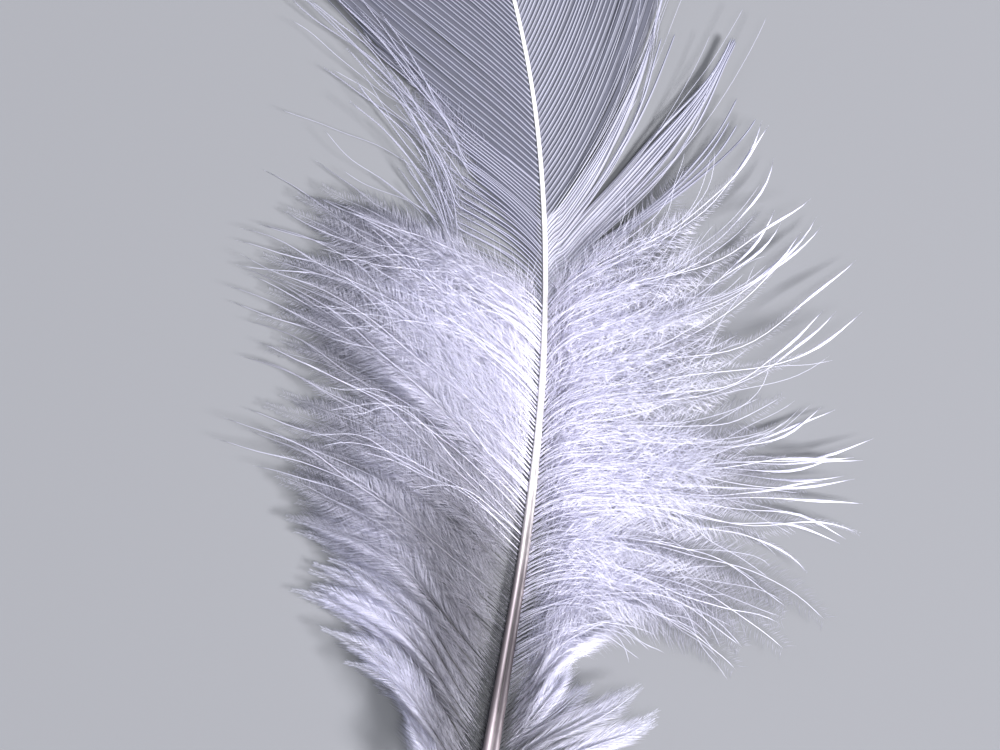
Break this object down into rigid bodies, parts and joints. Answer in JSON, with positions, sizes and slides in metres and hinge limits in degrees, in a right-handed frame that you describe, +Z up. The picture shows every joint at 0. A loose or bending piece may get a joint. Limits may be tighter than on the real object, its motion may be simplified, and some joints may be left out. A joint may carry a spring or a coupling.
{
  "type": "goose feather",
  "caption": "White goose body feather with a bare quill, loose down around its lower half and a closed vane above, lying with its hollow face up.",
  "frame": {"origin": "under the middle of the feather's length and width, on the surface that it lies on", "axes": "+Y along the shaft towards the tip of the vane, +X to the right of it, +Z up out of the feather's hollow inner face"},
  "size_m": [0.0503, 0.1278, 0.0076],
  "materials": {
    "keratin": "soft, slightly silky white barbs and down"
  },
  "bodies": {
    "root": {"feather": "keratin"}
  },
  "joints": []
}
